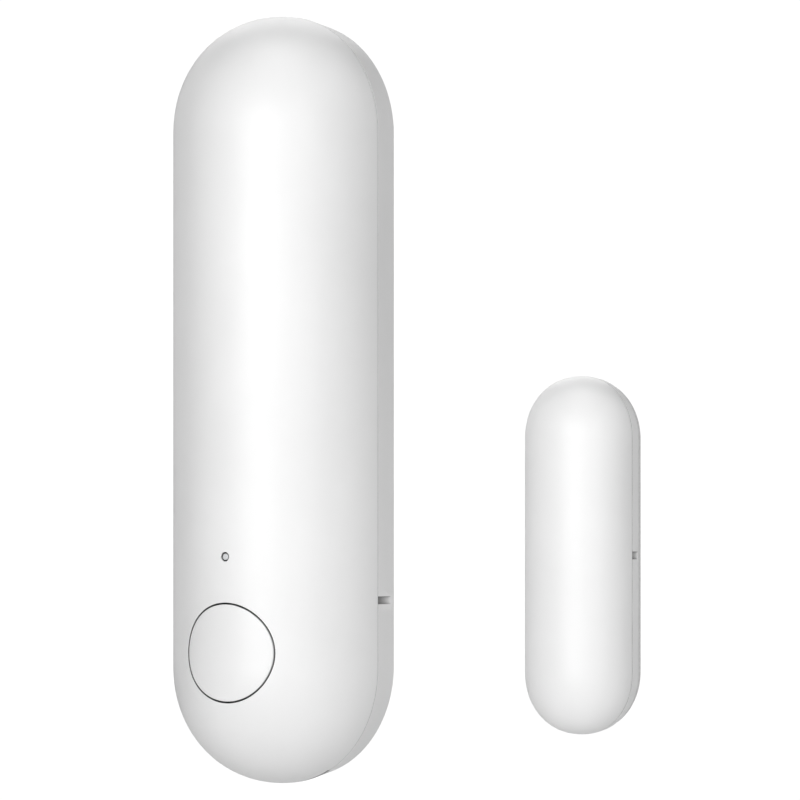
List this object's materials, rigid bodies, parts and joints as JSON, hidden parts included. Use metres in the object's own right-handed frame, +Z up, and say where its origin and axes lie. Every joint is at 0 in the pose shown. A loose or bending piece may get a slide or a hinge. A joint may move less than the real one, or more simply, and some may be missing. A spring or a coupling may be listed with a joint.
{
  "type": "door contact sensor",
  "caption": "Two-piece door contact sensor: a white capsule-shaped wall unit with a push button and status light, and a smaller capsule magnet unit beside it.",
  "frame": {"origin": "centre of the wall unit's adhesive face, on the wall plane", "axes": "+Z up along the wall unit's length, +Y into the wall, fronts towards -Y, the magnet unit towards +X"},
  "size_m": [0.0537, 0.0188, 0.084],
  "materials": {
    "shell_white": "satin white moulded shell, very fine texture",
    "button_white": "satin white moulded cap, same as the shell",
    "base_white": "satin white moulded tray",
    "light_guide": "frosted clear light guide",
    "foam_tape": "pale grey acrylic foam tape",
    "board_green": "green solder mask",
    "module_green": "dark green solder mask",
    "screw_steel": "zinc plated",
    "holder_black": "moulded nylon",
    "contact_steel": "nickel plated spring steel",
    "cell_nickel": "nickel plated can",
    "cell_sleeve": "plain shrink sleeve, no lettering",
    "cell_seal": "moulded seal ring",
    "reed_glass": "green tinted glass tube",
    "reed_nickel": "nickel iron blades",
    "shield_tin": "tin plated shield",
    "antenna_ceramic": "ceramic chip",
    "crystal_can": "metal can",
    "led_body": "clear resin on a white carrier",
    "switch_black": "moulded switch body",
    "switch_plate_steel": "tinned steel plate",
    "switch_plunger": "moulded plunger",
    "ferrite_grey": "ferrite core",
    "chip_black": "moulded epoxy",
    "tantalum_yellow": "moulded epoxy",
    "capacitor_brown": "ceramic chip",
    "magnet_dark": "sintered ferrite bar",
    "foam_black": "soft black foam"
  },
  "bodies": {
    "wall_unit": {"main_base": "base_white", "main_adhesive_pad": "foam_tape", "circuit_board": "board_green", "radio_module_board": "module_green", "board_screw_upper_left": "screw_steel", "board_screw_upper_right": "screw_steel", "board_screw_lower": "screw_steel", "battery_holder": "holder_black", "battery_positive_contact": "contact_steel", "battery_negative_contact": "contact_steel", "battery_negative_spring": "contact_steel", "reed_glass": "reed_glass", "reed_blade_upper": "reed_nickel", "reed_blade_lower": "reed_nickel", "radio_shield_can": "shield_tin", "ceramic_antenna": "antenna_ceramic", "crystal_oscillator": "crystal_can", "status_led": "led_body", "tact_switch_body": "switch_black", "tact_switch_plate": "switch_plate_steel", "boost_inductor": "ferrite_grey", "power_converter_chip": "chip_black", "storage_capacitor": "tantalum_yellow", "filter_capacitor_upper": "capacitor_brown", "filter_capacitor_lower": "capacitor_brown"},
    "front_cover": {"main_front_cover": "shell_white", "led_light_pipe": "light_guide"},
    "button": {"pair_button": "button_white"},
    "switch_plunger": {"tact_switch_plunger": "switch_plunger"},
    "cell": {"battery_can": "cell_nickel", "battery_sleeve": "cell_sleeve", "battery_insulator_ring": "cell_seal"},
    "magnet_unit": {"magnet_adhesive_pad": "foam_tape", "magnet_base": "base_white", "magnet_front_cover": "shell_white", "bar_magnet": "magnet_dark", "magnet_foam_strip": "foam_black"}
  },
  "joints": [
    {"name": "front_cover_lift", "type": "slide", "parent": "wall_unit", "child": "front_cover", "axis": [0, -1, 0], "range_m": [0, 0.045]},
    {"name": "cell_lift", "type": "slide", "parent": "wall_unit", "child": "cell", "axis": [0, -1, 0], "range_m": [0, 0.018]},
    {"name": "pair_button_press", "type": "slide", "parent": "front_cover", "child": "button", "axis": [0, 1, 0], "range_m": [0, 0.0003], "stiffness_N_per_m": 3000, "springref_m": -0.0002},
    {"name": "switch_plunger_press", "type": "slide", "parent": "wall_unit", "child": "switch_plunger", "axis": [0, 1, 0], "range_m": [0, 0.0003]},
    {"name": "magnet_travel", "type": "slide", "parent": "wall_unit", "child": "magnet_unit", "axis": [1, 0, 0], "range_m": [-0.015, 0.06]}
  ],
  "couplings": [
    {"joint": "cell_lift", "follows": "front_cover_lift", "ratio": 0.4},
    {"joint": "switch_plunger_press", "follows": "pair_button_press", "ratio": 1}
  ]
}
